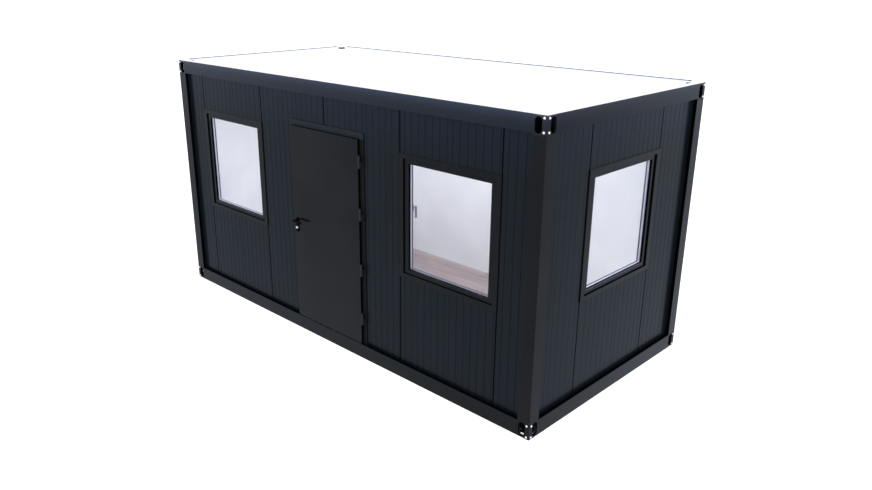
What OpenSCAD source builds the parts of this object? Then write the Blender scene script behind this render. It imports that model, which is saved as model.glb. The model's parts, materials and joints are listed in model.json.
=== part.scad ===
// Office container: a steel corner-post cabin with sandwich wall panels,
// one outward-opening door and three windows.
// Origin at the middle of the footprint on the ground, front (door side) towards -Y.

/* [Cabin] */
// Outside length along the door side
length = 5000; // [4800:10:7000]
// Outside width across the ends
width = 2400; // [2200:10:3000]
// Outside height
height = 2600; // [2500:10:3000]

/* [Frame] */
// Thickness of the folded frame plates
plate_t = 4; // [3:0.5:6]
// Face width of the corner posts
post_w = 122; // [114:1:140]
// Face height of the bottom rails
bottom_rail_h = 140; // [125:1:160]
// Face height of the top rails
top_rail_h = 136; // [110:1:150]
// Depth of the wall faces behind the outer frame faces
recess = 40; // [34:1:50]
// Height of the ledge that carries the walls
ledge_z = 110; // [90:1:120]
// Width of the lip under the bottom rails
rail_lip = 32; // [20:1:40]
// Distance from the outer face to the inner web of the bottom rails
rail_web = 60; // [50:1:75]
// Width of the flange under the inner web of the bottom rails
rail_foot = 40; // [20:1:50]
// Width of the stiffening lip under the top rails
top_lip = 16; // [8:1:24]
// Depth of the open groove behind the post faces
post_groove = 40; // [30:1:50]

/* [Roof] */
// Width of the white flashing on top of the frame
flashing_w = 72; // [60:1:90]
// Thickness of the flashing sheet
flashing_t = 2; // [1:0.5:3]
// Step from the flashing down to the roof panel
roof_drop = 20; // [12:1:30]
// Height from the heads of the walls to the top of the cabin
head_drop = 100; // [80:1:120]
// Thickness of the ceiling board
ceiling_t = 16; // [10:1:24]

/* [Corner blocks] */
// Height of the corner blocks
block_h = 150; // [145:1:180]
// Wall thickness of the corner blocks
block_t = 8; // [6:0.5:10]
// Thickness of the cap plates on the top blocks
cap_t = 6; // [4:0.5:10]
// Width of the oblong slots in the blocks
slot_w = 50; // [40:1:54]
// Height of the oblong slots in the blocks
slot_h = 114; // [90:1:120]
// Distance from the corner edge to the middle of a slot
slot_inset = 75; // [60:1:78]
// Diameter of the lifting holes in the caps
lift_d = 50; // [30:1:54]
// Distance from the outer faces to the lifting holes
lift_inset = 80; // [60:1:84]
// Width of the open gap round the foot plates of the bottom blocks
foot_gap = 26; // [20:1:30]
// Diameter of the anchor holes in the foot plates
anchor_d = 26; // [18:1:32]

/* [Walls] */
// Thickness of the wall panels
wall_t = 80; // [60:1:80]
// Width of the narrow front panels between the corner posts and the window bays
end_panel_w = 283; // [200:1:330]
// Width of a window bay between two seams
bay_w = 1092; // [1000:1:1120]
// Width of the panels on the sides without windows
plain_panel_w = 1003; // [900:1:1050]
// Width of the full sheet that the corner panels are cut from
sheet_w = 960; // [900:1:1100]
// Width of the open joint at a seam
seam_w = 13; // [4:0.5:16]
// Depth of the open joint at a seam
seam_d = 20; // [10:1:30]
// Distance from a panel's seam to its first rib groove
rib_start = 56; // [30:1:80]
// Distance between the rib grooves rolled into the outer skin
rib_pitch = 79.5; // [50:0.5:100]
// Number of rib grooves in one group
rib_n = 7; // [3:1:12]
// Distance between two groups of rib grooves
rib_break = 56; // [30:1:80]
// How far the rib grooves of the window end start further from their seam
rib_shift = 47; // [0:1:60]
// Width of a rib groove
rib_w = 8; // [4:0.5:16]
// Depth of a rib groove
rib_d = 1.5; // [0.5:0.1:3]

/* [Floor] */
// Thickness of the floor deck on its joists
deck_t = 40; // [24:1:50]
// Height of the floor joists
joist_h = 70; // [50:1:80]
// Flange width of the floor joists
joist_w = 45; // [30:1:60]
// Number of floor joists
joist_n = 9; // [5:1:13]
// Gap between the deck and the walls
deck_gap = 2; // [1:0.5:5]

/* [Windows] */
// Distance from the heads of the walls down to the window openings
window_drop = 409; // [350:1:500]
// Height of the window openings
window_h = 1101; // [900:1:1150]
// How far the window trim laps over the wall panels
trim_lap = 4; // [2:0.5:20]
// How far trims stand proud of the wall
trim_proud = 10; // [6:0.5:15]
// Face width of the window trim's uprights
trim_w = 50; // [35:1:70]
// Face height of the window trim's head and sill
trim_h = 39; // [30:1:60]
// Depth from the trim face to the window frame
reveal_d = 14; // [11:1:30]
// Face width of the window frame's uprights
frame_w = 53; // [30:1:70]
// Face height of the window frame's head and sill
frame_h = 42; // [30:1:70]
// Depth of the outer window frame in front of the glass
frame_d = 12; // [8:1:30]
// Thickness of the glazing unit
glass_t = 24; // [14:1:28]
// How far the glass laps behind the frame
glass_lap = 12; // [8:1:18]
// Depth of the white inner sash behind the outer frame
sash_d = 45; // [36:1:60]
// Height of the window handle spindle above the window opening's sill
handle_z = 627; // [400:1:700]
// Distance from the edge of the visible glass to the middle of the window handle
handle_out = 16; // [15:1:40]
// Length of the hanging window lever
handle_l = 113; // [80:1:130]
// Width of the window lever
window_lever_w = 20; // [14:1:26]
// Thickness of the window lever
window_lever_t = 10; // [8:1:16]
// Distance from the sash to the inner face of the window lever
window_lever_off = 52; // [34:1:60]
// Diameter of the window handle's neck
window_neck_d = 14; // [10:1:18]
// Width of the window handle's rosette
rosette_w = 30; // [26:1:36]
// Height of the window handle's rosette
rosette_h = 66; // [50:1:80]
// Thickness of the window handle's rosette
rosette_t = 10; // [6:1:14]

/* [Door] */
// Offset of the door leaf from the middle of the front
door_x = 11; // [-60:1:60]
// Width of the door leaf's outer slab
leaf_w = 980; // [850:1:1040]
// Distance from the heads of the walls down to the door leaf's outer slab
door_drop = 363; // [300:1:400]
// Thickness of the outer slab
slab_t = 19; // [12:1:20]
// Thickness of the leaf behind its slab
leaf_t = 40; // [30:1:50]
// How far the slab laps past the leaf behind it
rebate = 24; // [16:1:30]
// Running gap between the leaf and its frame
leaf_gap = 8; // [6:0.5:12]
// Gap between the slab and the face of the frame and rail
slab_gap = 6; // [5:0.5:8]
// Frame face showing on the lock side
lock_margin = 32; // [28:1:50]
// Frame face showing on the hinge side
hinge_margin = 49; // [46:1:60]
// Frame face showing over the leaf
head_margin = 59; // [30:1:70]
// How far the door frame laps over the wall panels
door_lap = 8; // [4:0.5:16]

/* [Hinges] */
// Distance from the foot of the leaf to the middle of its lowest hinge
hinge_low = 261; // [150:1:350]
// Distance from the head of the leaf to the middle of its highest hinge
hinge_high = 200; // [150:1:350]
// Share of the way from the lowest to the highest hinge at the second hinge
hinge_second_share = 0.325; // [0.25:0.005:0.4]
// Share of the way from the lowest to the highest hinge at the third hinge
hinge_third_share = 0.679; // [0.6:0.001:0.75]
// Height of one whole hinge
hinge_h = 115; // [80:1:140]
// Radius of the hinge knuckles
knuckle_r = 10; // [8:0.5:10]
// Radius of the hinge pins
pin_r = 5; // [3:0.5:6]
// Radial play of the pins in the leaf's knuckles
pin_play = 0.3; // [0.2:0.05:0.5]
// Distance from the leaf's edge to the hinge axis
hinge_off = 15; // [15:1:30]
// How far the hinge knuckles stand proud of the slab
knuckle_proud = 9; // [4:0.5:10]
// Play between the two knuckles of a hinge
knuckle_gap = 2; // [1:0.5:4]
// Thickness of the hinges' base plates
hinge_plate_t = 3; // [2:0.5:5]

/* [Door handle] */
// Distance from the leaf's lock edge to the spindle
spindle_inset = 47; // [45:1:90]
// Height of the lever spindle above the ground
spindle_z = 1190; // [950:1:1250]
// Width of the handle plates
plate_w = 40; // [32:1:60]
// Height of the handle plates
plate_h = 150; // [120:1:200]
// Thickness of the handle plates
handle_plate_t = 8; // [5:0.5:12]
// Distance from the spindle up to the top of the handle plates
spindle_top = 25; // [20:1:40]
// Length of a lever from the spindle
lever_l = 125; // [90:1:150]
// Height of a lever's grip
lever_h = 18; // [12:1:24]
// Thickness of a lever's grip
lever_t = 14; // [10:1:20]
// Distance from a handle plate to the back of the grip
lever_off = 34; // [28:1:42]
// Radius of the lever necks
neck_r = 9; // [7:0.5:9]
// Radius of the spindle through the leaf
spindle_r = 6; // [4:0.5:7]
// Radius of the lock cylinder
lock_r = 11; // [8:0.5:12]
// How far the lock cylinder stands out of its plate
lock_l = 11; // [4:0.5:14]
// Distance from the spindle down to the lock cylinder
lock_drop = 77; // [70:1:95]

/* [Hidden] */
$fn = 48;

frame_colour = "#2b2c2f";
panel_colour = "#1f252e";
roof_colour = "#f4f5f7";
inner_colour = "#e6e6ec";
floor_colour = "#a89ea0";
zinc_colour = "#c9ccd0";
black_colour = "#141416";

// Sides count anticlockwise from the front: 0 front, 1 right, 2 back, 3 left
function side_face(side) = side % 2 == 0 ? width / 2 : length / 2;
function side_run(side) = (side % 2 == 0 ? length : width) - 2 * post_w;

// Heights and depths that several pieces share
head_z = height - head_drop;
cap_z = height - cap_t;
rail_top = height - flashing_t;
roof_z = height - roof_drop;
inner_d = recess + wall_t;
floor_z = ledge_z + deck_t;
inner_run_x = length - 2 * inner_d;
inner_run_y = width - 2 * inner_d;
notch_a = post_w - post_groove;
foot_a = rail_lip + foot_gap;
anchor_inset = (foot_a + post_w - block_t) / 2;

// Seams along the front, and the rib grooves counted from a panel's seam
front_end = side_run(0) / 2;
panel_w = front_end - end_panel_w - bay_w;
front_seams = [-panel_w - bay_w, -panel_w, 0, panel_w, panel_w + bay_w];
bay_mid = panel_w + bay_w / 2;
rib_group = (rib_n - 1) * rib_pitch + rib_break;
function rib_at(k) = rib_start + floor(k / rib_n) * rib_group + (k % rib_n) * rib_pitch;
window_top = head_z - window_drop;
window_z = window_top - window_h;
window_mid = window_z + window_h / 2;

// Window depths behind the outer face
trim_face = recess - trim_proud;
frame_face = trim_face + reveal_d;
glass_face = frame_face + frame_d;
sash_back = glass_face + sash_d;
sight_w = bay_w + 2 * trim_lap - 2 * (trim_w + frame_w);
sight_h = window_h + 2 * trim_lap - 2 * (trim_h + frame_h);

// Door outlines along the front and depths behind the outer face
leaf_x0 = door_x - leaf_w / 2;
leaf_x1 = door_x + leaf_w / 2;
slab_back = trim_face - slab_gap;
slab_face = slab_back - slab_t;
leaf_back = slab_back + leaf_t;
leaf_z0 = bottom_rail_h + slab_gap;
leaf_z1 = head_z - door_drop;
jamb_x0 = leaf_x0 + rebate - leaf_gap;
jamb_x1 = leaf_x1 - rebate + leaf_gap;
head_inner_z = leaf_z1 - rebate + leaf_gap;
door_x0 = leaf_x0 - lock_margin + door_lap;
door_x1 = leaf_x1 + hinge_margin - door_lap;
door_top = leaf_z1 + head_margin - door_lap;
hinge_x = leaf_x1 + hinge_off;
hinge_d = slab_face + knuckle_r - knuckle_proud;
knuckle_h = (hinge_h - knuckle_gap) / 2;
hinge_z0 = leaf_z0 + hinge_low;
hinge_z1 = leaf_z1 - hinge_high;
hinge_shares = [0, hinge_second_share, hinge_third_share, 1];
hinge_zs = [for (share = hinge_shares) hinge_z0 + share * (hinge_z1 - hinge_z0)];
spindle_x = leaf_x0 + spindle_inset;
overcut = 1;

// Shared shapes

// Puts children on one side: x runs along the wall, y into it, z up
module on_side(side) rotate([0, 0, 90 * side]) translate([0, -side_face(side), 0]) children();

// Puts children on one corner: x and y run inwards from the two outer faces
module on_corner(sx, sy)
  translate([sx * length / 2, sy * width / 2, 0])
    mirror([sx > 0 ? 1 : 0, 0, 0])
      mirror([0, sy > 0 ? 1 : 0, 0])
        children();

module on_corners() for (sx = [-1, 1], sy = [-1, 1]) on_corner(sx, sy) children();

// A rectangle between two corners
module rect(x0, y0, x1, y1) translate([x0, y0]) square([x1 - x0, y1 - y0]);

// A block between two corners
module block(x0, y0, z0, x1, y1, z1) translate([x0, y0, z0]) cube([x1 - x0, y1 - y0, z1 - z0]);

// A long profile along one side, with its section drawn as depth by height
module along_side(side) on_side(side)
  translate([-side_run(side) / 2, 0, 0])
    rotate([90, 0, 90])
      linear_extrude(side_run(side)) children();

// A flat shape in the plane of a wall, from one depth to another
module in_wall(d0, d1) translate([0, d1, 0]) rotate([90, 0, 0]) linear_extrude(d1 - d0) children();

// A rectangular ring round the middle of a window
module window_ring(outer_w, outer_h, inner_w, inner_h)
  translate([0, window_mid])
    difference() {
      square([outer_w, outer_h], center = true);
      square([inner_w, inner_h], center = true);
    }

// An oblong hole with round ends, along y
module oblong(w, h) {
  square([w, h - w], center = true);
  for (s = [-1, 1]) translate([0, s * (h - w) / 2]) circle(d = w);
}

// Frame

module bottom_rail_section() {
  rect(0, 0, plate_t, bottom_rail_h);
  rect(0, 0, rail_lip, plate_t);
  rect(0, ledge_z - plate_t, post_w, ledge_z);
  rect(rail_web - plate_t, 0, rail_web, ledge_z);
  rect(rail_web - plate_t, 0, rail_web + rail_foot, plate_t);
}

module top_rail_section() {
  drop_d = flashing_w - flashing_t;
  rect(0, height - top_rail_h, plate_t, rail_top);
  rect(0, height - top_rail_h, top_lip, height - top_rail_h + plate_t);
  rect(0, rail_top - plate_t, drop_d, rail_top);
  rect(drop_d - plate_t, head_z, drop_d, rail_top);
  rect(drop_d - plate_t, head_z, post_w, head_z + plate_t);
}

// One leg of the post: its face plate, the groove behind it and the inner wall
module post_leg_section() {
  rect(0, 0, post_w, plate_t);
  rect(notch_a - plate_t, 0, notch_a, recess);
  rect(notch_a - plate_t, recess - plate_t, post_w, recess);
  rect(post_w - plate_t, recess - plate_t, post_w, post_w);
}

module post(sx, sy) color(frame_colour)
  on_corner(sx, sy)
    translate([0, 0, block_h])
      linear_extrude(height - 2 * block_h) {
        post_leg_section();
        mirror([1, -1]) post_leg_section();
      }

// Oblong slots through both outer faces of a corner block
module block_slots(mid_z) {
  translate([slot_inset, block_t + overcut, mid_z])
    rotate([90, 0, 0])
      linear_extrude(block_t + 2 * overcut) oblong(slot_w, slot_h);
  translate([-overcut, slot_inset, mid_z])
    rotate([90, 0, 90])
      linear_extrude(block_t + 2 * overcut) oblong(slot_w, slot_h);
}

module block_shell(z0, z1) difference() {
  block(0, 0, z0, post_w, post_w, z1);
  block(block_t, block_t, z0 + block_t, post_w - block_t, post_w - block_t, z1 - block_t);
}

module bottom_rail(side) color(frame_colour) along_side(side) bottom_rail_section();

module top_rail(side) color(frame_colour) along_side(side) top_rail_section();

// Hollow blocks whose foot plates stand inside an open gap
module bottom_corner_blocks() color(frame_colour) on_corners()
  difference() {
    block_shell(0, block_h);
    block_slots(block_h / 2);
    block(rail_lip, rail_lip, -overcut, foot_a, post_w - block_t, block_t + overcut);
    block(rail_lip, rail_lip, -overcut, post_w - block_t, foot_a, block_t + overcut);
    translate([anchor_inset, anchor_inset, -overcut]) cylinder(d = anchor_d, h = block_t + 2 * overcut);
  }

module top_corner_blocks() color(frame_colour) on_corners()
  difference() {
    block_shell(height - block_h, cap_z);
    block_slots(height - block_h / 2);
    translate([lift_inset, lift_inset, cap_z - block_t - overcut])
      cylinder(d = lift_d, h = block_t + 2 * overcut);
  }

module corner_caps() color(roof_colour) on_corners()
  difference() {
    block(0, 0, cap_z, post_w, post_w, height);
    translate([lift_inset, lift_inset, cap_z - overcut]) cylinder(d = lift_d, h = cap_t + 2 * overcut);
  }

// Roof and floor

module roof_flashing() color(roof_colour) for (side = [0 : 3])
  along_side(side) {
    rect(0, rail_top, flashing_w, height);
    rect(flashing_w - flashing_t, roof_z, flashing_w, height);
  }

module roof_panel() color(roof_colour) difference() {
  edge = flashing_w - flashing_t;
  block(edge - length / 2, edge - width / 2, head_z + plate_t, length / 2 - edge, width / 2 - edge, roof_z);
  on_corners() block(0, 0, head_z, post_w + deck_gap, post_w + deck_gap, height);
}

module ceiling() color(inner_colour)
  block(
    post_w - length / 2, post_w - width / 2, head_z + plate_t - ceiling_t,
    length / 2 - post_w, width / 2 - post_w, head_z + plate_t
  );

module floor_deck() color(floor_colour)
  block(
    deck_gap - inner_run_x / 2, deck_gap - inner_run_y / 2, ledge_z,
    inner_run_x / 2 - deck_gap, inner_run_y / 2 - deck_gap, floor_z
  );

module joist_section() difference() {
  rect(-joist_w / 2, ledge_z - joist_h, joist_w / 2, ledge_z);
  rect(-joist_w / 2 + plate_t, ledge_z - joist_h + plate_t, joist_w / 2 + overcut, ledge_z - plate_t);
}

// Channels between the inner webs of the long rails, coped under their ledges
module floor_joists() color(zinc_colour)
  for (i = [1 : joist_n]) translate([(i / (joist_n + 1) - 0.5) * (length - 2 * rail_web), 0, 0])
    difference() {
      translate([0, width / 2 - rail_web, 0])
        rotate([90, 0, 0])
          linear_extrude(width - 2 * rail_web) joist_section();
      for (s = [-1, 1]) translate([-joist_w, s * (width / 2 - post_w / 2) - post_w / 2, ledge_z - plate_t])
        cube([2 * joist_w, post_w, joist_h]);
    }

// Wall panels

// The plan of one panel from u0 to u1: rib grooves counted from the seam at rib_u,
// and half an open joint at each end that is a seam
function rib_plan(c) = [
  [c - rib_w / 2, recess], [c - rib_w / 4, recess + rib_d],
  [c + rib_w / 4, recess + rib_d], [c + rib_w / 2, recess]
];
function panel_plan(u0, u1, rib_u, seam0, seam1) = let (
  a = u0 + (seam0 ? seam_w / 2 : 0),
  b = u1 - (seam1 ? seam_w / 2 : 0),
  last = rib_n * ceil((b - rib_u) / rib_group),
  ribs = [for (k = [0 : last]) rib_u + rib_at(k)]
) concat(
  seam0 ? [[u0, recess + seam_d], [a, recess + seam_d]] : [],
  [[a, recess]],
  [for (c = ribs) if (c > a + rib_w && c < b - rib_w) each rib_plan(c)],
  [[b, recess]],
  seam1 ? [[b, recess + seam_d], [u1, recess + seam_d]] : [],
  [[u1, inner_d], [u0, inner_d]]
);

module wall_panel(side, u0, u1, z0, z1, rib_u, seam0 = true, seam1 = true)
  on_side(side)
    translate([0, 0, z0])
      linear_extrude(z1 - z0) polygon(panel_plan(u0, u1, rib_u, seam0, seam1));

module full_panel(side, u0, u1, rib_u, seam0 = true, seam1 = true)
  wall_panel(side, u0, u1, ledge_z, head_z, rib_u, seam0, seam1);

// The panels below and above one window
module window_panels(side, u0, u1, rib_u) color(panel_colour) {
  wall_panel(side, u0, u1, ledge_z, window_z, rib_u);
  wall_panel(side, u0, u1, window_top, head_z, rib_u);
}

// A side without windows: full panels in the middle, and a corner panel at each end
module plain_wall(side) {
  edge = side_run(side) / 2;
  full_n = floor(2 * edge / plain_panel_w - 0.5);
  seams = [for (i = [0 : full_n]) (i - full_n / 2) * plain_panel_w];
  full_panel(side, -edge, seams[0], seams[0] - sheet_w, seam0 = false);
  for (i = [1 : 1 : full_n]) full_panel(side, seams[i - 1], seams[i], seams[i - 1]);
  full_panel(side, seams[full_n], edge, seams[full_n], seam1 = false);
}

module front_panel_left() color(panel_colour)
  full_panel(0, -front_end, front_seams[0], front_seams[0] - sheet_w, seam0 = false);

module front_left_window_panels() window_panels(0, front_seams[0], front_seams[1], front_seams[0]);

module front_panel_door_left() color(panel_colour)
  full_panel(0, front_seams[1], door_x0, front_seams[1], seam1 = false);

module front_panels_over_door() color(panel_colour) {
  wall_panel(0, door_x0, front_seams[2], door_top, head_z, front_seams[1], seam0 = false);
  wall_panel(0, front_seams[2], door_x1, door_top, head_z, front_seams[2], seam1 = false);
}

module front_panel_door_right() color(panel_colour)
  full_panel(0, door_x1, front_seams[3], front_seams[2], seam0 = false);

module front_right_window_panels() window_panels(0, front_seams[3], front_seams[4], front_seams[3]);

module front_panel_right() color(panel_colour)
  full_panel(0, front_seams[4], front_end, front_seams[4], seam1 = false);

module right_panel_front() color(panel_colour)
  full_panel(1, -side_run(1) / 2, -bay_w / 2, -bay_w / 2 - sheet_w, seam0 = false);

module right_window_panels() window_panels(1, -bay_w / 2, bay_w / 2, rib_shift - bay_w / 2);

module right_panel_back() color(panel_colour)
  full_panel(1, bay_w / 2, side_run(1) / 2, bay_w / 2, seam1 = false);

module back_wall() color(panel_colour) plain_wall(2);

module left_wall() color(panel_colour) plain_wall(3);

// Windows

module at_window(side, u) on_side(side) translate([u, 0, 0]) children();

// Outer trim over the panel edges, the reveal behind it and the frame round the glass
module window_frame(side, u) color(frame_colour) at_window(side, u) {
  trim_in_w = sight_w + 2 * frame_w;
  trim_in_h = sight_h + 2 * frame_h;
  in_wall(trim_face, recess)
    window_ring(bay_w + 2 * trim_lap, window_h + 2 * trim_lap, trim_in_w, trim_in_h);
  in_wall(recess, frame_face) window_ring(bay_w, window_h, trim_in_w, trim_in_h);
  in_wall(frame_face, glass_face) window_ring(bay_w, window_h, sight_w, sight_h);
}

module window_sash(side, u) color(inner_colour) at_window(side, u) {
  in_wall(glass_face, glass_face + glass_t)
    window_ring(bay_w, window_h, sight_w + 2 * glass_lap, sight_h + 2 * glass_lap);
  in_wall(glass_face + glass_t, sash_back) window_ring(bay_w, window_h, sight_w, sight_h);
}

module window_glass(side, u) color("#b9c8d6", 0.35) at_window(side, u)
  in_wall(glass_face, glass_face + glass_t)
    translate([0, window_mid]) square([sight_w + 2 * glass_lap, sight_h + 2 * glass_lap], center = true);

// A rosette on the sash's stile with a round-ended lever that hangs from it
module window_handle(side, u, stile) at_window(side, u)
  translate([stile * (sight_w / 2 + handle_out), sash_back, window_z + handle_z]) {
    in_wall(0, rosette_t) oblong(rosette_w, rosette_h);
    rotate([-90, 0, 0]) cylinder(d = window_neck_d, h = window_lever_off);
    translate([0, 0, (window_lever_w - handle_l) / 2])
      in_wall(window_lever_off - window_lever_t, window_lever_off) oblong(window_lever_w, handle_l);
  }

module front_left_window_frame() window_frame(0, -bay_mid);
module front_left_window_sash() window_sash(0, -bay_mid);
module front_left_window_glass() window_glass(0, -bay_mid);
module front_right_window_frame() window_frame(0, bay_mid);
module front_right_window_sash() window_sash(0, bay_mid);
module front_right_window_glass() window_glass(0, bay_mid);
module right_window_frame() window_frame(1, 0);
module right_window_sash() window_sash(1, 0);
module right_window_glass() window_glass(1, 0);

module window_handles() color(zinc_colour) {
  window_handle(0, -bay_mid, 1);
  window_handle(0, bay_mid, -1);
  window_handle(1, 0, -1);
}

// Door

module door_outline(lap, z0) difference() {
  rect(door_x0 - lap, z0, door_x1 + lap, door_top + lap);
  rect(jamb_x0, z0 - overcut, jamb_x1, head_inner_z);
}

module door_frame() color(frame_colour) on_side(0) {
  in_wall(trim_face, recess) door_outline(door_lap, ledge_z);
  in_wall(recess, inner_d) door_outline(0, floor_z);
}

module door_sill() color(zinc_colour) on_side(0) block(door_x0, recess, ledge_z, door_x1, inner_d, floor_z);

// Fixed hinge halves: a base plate on the frame, an arm, the lower knuckle and its pin
module door_frame_hinges() color(frame_colour) on_side(0) for (z = hinge_zs)
  translate([hinge_x, hinge_d, z - hinge_h / 2]) {
    plate_d = trim_face - hinge_d;
    half_w = hinge_off - slab_gap;
    cylinder(r = knuckle_r, h = knuckle_h);
    cylinder(r = pin_r, h = hinge_h - knuckle_gap);
    translate([-knuckle_r / 2, 0, 0]) cube([knuckle_r, plate_d, knuckle_h]);
    translate([-half_w, plate_d - hinge_plate_t, 0]) cube([2 * half_w, hinge_plate_t, knuckle_h]);
  }

// Leaf-side hinge halves: the upper knuckle and the arm to the slab's edge
module door_leaf_hinges() color(frame_colour) on_side(0) for (z = hinge_zs)
  translate([hinge_x, hinge_d, z + hinge_h / 2 - knuckle_h])
    difference() {
      union() {
        cylinder(r = knuckle_r, h = knuckle_h);
        translate([-hinge_off, slab_face - hinge_d, 0]) cube([hinge_off, knuckle_r, knuckle_h]);
      }
      translate([0, 0, -overcut]) cylinder(r = pin_r + pin_play, h = knuckle_h + 2 * overcut);
    }

// A slab that laps over the frame, and the thicker leaf behind it
module door_leaf() color(frame_colour) on_side(0) difference() {
  union() {
    block(leaf_x0, slab_face, leaf_z0, leaf_x1, slab_back, leaf_z1);
    block(
      leaf_x0 + rebate, slab_back, floor_z + leaf_gap,
      leaf_x1 - rebate, leaf_back, leaf_z1 - rebate
    );
  }
  translate([spindle_x, slab_face - overcut, spindle_z])
    rotate([-90, 0, 0]) cylinder(r = spindle_r + pin_play, h = slab_t + leaf_t + 2 * overcut);
}

// Round-ended plates on both faces of the leaf, bored for the spindle
module door_handle_plates() color(black_colour) on_side(0)
  for (d0 = [slab_face - handle_plate_t, leaf_back]) difference() {
    translate([spindle_x, 0, spindle_z + spindle_top - plate_h / 2])
      in_wall(d0, d0 + handle_plate_t) oblong(plate_w, plate_h);
    translate([spindle_x, d0 - overcut, spindle_z])
      rotate([-90, 0, 0]) cylinder(r = spindle_r + pin_play, h = handle_plate_t + 2 * overcut);
  }

module door_lock() color(zinc_colour) on_side(0)
  for (d0 = [slab_face - handle_plate_t - lock_l, leaf_back + handle_plate_t])
    translate([spindle_x, d0, spindle_z - lock_drop])
      rotate([-90, 0, 0]) cylinder(r = lock_r, h = lock_l);

// Inner and outer levers on one spindle
module door_lever() color(black_colour) on_side(0) translate([spindle_x, 0, spindle_z]) {
  outer_plate = slab_face - handle_plate_t;
  inner_plate = leaf_back + handle_plate_t;
  out_d = outer_plate - lever_off - lever_t;
  in_d = inner_plate + lever_off;
  neck_l = lever_off - knuckle_gap;
  translate([0, out_d + lever_t / 2, 0]) rotate([-90, 0, 0]) cylinder(r = spindle_r, h = in_d - out_d);
  for (d0 = [outer_plate - lever_off, inner_plate + knuckle_gap])
    translate([0, d0, 0]) rotate([-90, 0, 0]) cylinder(r = neck_r, h = neck_l);
  for (d0 = [out_d, in_d])
    translate([(lever_l - lever_h / 2) / 2, 0, 0])
      in_wall(d0, d0 + lever_t) rotate(90) oblong(lever_h, lever_l + lever_h / 2);
}

bottom_rail(0);  // bottom_rail_front
bottom_rail(1);  // bottom_rail_right
bottom_rail(2);  // bottom_rail_back
bottom_rail(3);  // bottom_rail_left
top_rail(0);  // top_rail_front
top_rail(1);  // top_rail_right
top_rail(2);  // top_rail_back
top_rail(3);  // top_rail_left
post(-1, -1);  // post_front_left
post(1, -1);  // post_front_right
post(1, 1);  // post_back_right
post(-1, 1);  // post_back_left
bottom_corner_blocks();
top_corner_blocks();
corner_caps();
roof_flashing();
roof_panel();
ceiling();
floor_deck();
floor_joists();
front_panel_left();
front_left_window_panels();
front_panel_door_left();
front_panels_over_door();
front_panel_door_right();
front_right_window_panels();
front_panel_right();
right_panel_front();
right_window_panels();
right_panel_back();
back_wall();
left_wall();
front_left_window_frame();
front_left_window_sash();
front_left_window_glass();
front_right_window_frame();
front_right_window_sash();
front_right_window_glass();
right_window_frame();
right_window_sash();
right_window_glass();
window_handles();
door_frame();
door_sill();
door_frame_hinges();
door_leaf();
door_leaf_hinges();
door_handle_plates();
door_lock();
door_lever();
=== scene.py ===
import json
import math

import bmesh
import bpy
from mathutils import Matrix, Vector


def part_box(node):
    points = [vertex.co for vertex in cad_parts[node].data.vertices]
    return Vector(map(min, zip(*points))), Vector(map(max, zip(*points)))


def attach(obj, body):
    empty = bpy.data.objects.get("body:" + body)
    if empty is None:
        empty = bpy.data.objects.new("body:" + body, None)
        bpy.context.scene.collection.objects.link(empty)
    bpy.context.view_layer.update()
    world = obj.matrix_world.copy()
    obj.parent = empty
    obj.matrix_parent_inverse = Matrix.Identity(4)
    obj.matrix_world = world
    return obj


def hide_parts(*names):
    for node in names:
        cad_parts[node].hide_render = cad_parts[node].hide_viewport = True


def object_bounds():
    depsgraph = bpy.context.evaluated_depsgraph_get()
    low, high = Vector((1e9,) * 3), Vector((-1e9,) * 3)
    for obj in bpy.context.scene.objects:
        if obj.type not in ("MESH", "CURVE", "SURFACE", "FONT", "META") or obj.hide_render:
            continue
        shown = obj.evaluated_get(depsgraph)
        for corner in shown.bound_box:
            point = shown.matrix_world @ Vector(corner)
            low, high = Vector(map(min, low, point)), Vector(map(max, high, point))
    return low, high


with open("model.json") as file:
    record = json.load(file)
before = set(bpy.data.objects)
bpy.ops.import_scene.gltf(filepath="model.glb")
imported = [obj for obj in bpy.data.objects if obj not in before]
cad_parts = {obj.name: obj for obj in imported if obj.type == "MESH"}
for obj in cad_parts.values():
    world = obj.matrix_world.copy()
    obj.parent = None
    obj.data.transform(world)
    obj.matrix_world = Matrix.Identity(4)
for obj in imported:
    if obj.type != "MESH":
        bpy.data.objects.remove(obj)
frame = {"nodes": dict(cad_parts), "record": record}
nodes = frame["nodes"]
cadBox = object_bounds()
print("frame loaded with", len(nodes), "nodes")


# shader sums

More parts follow.
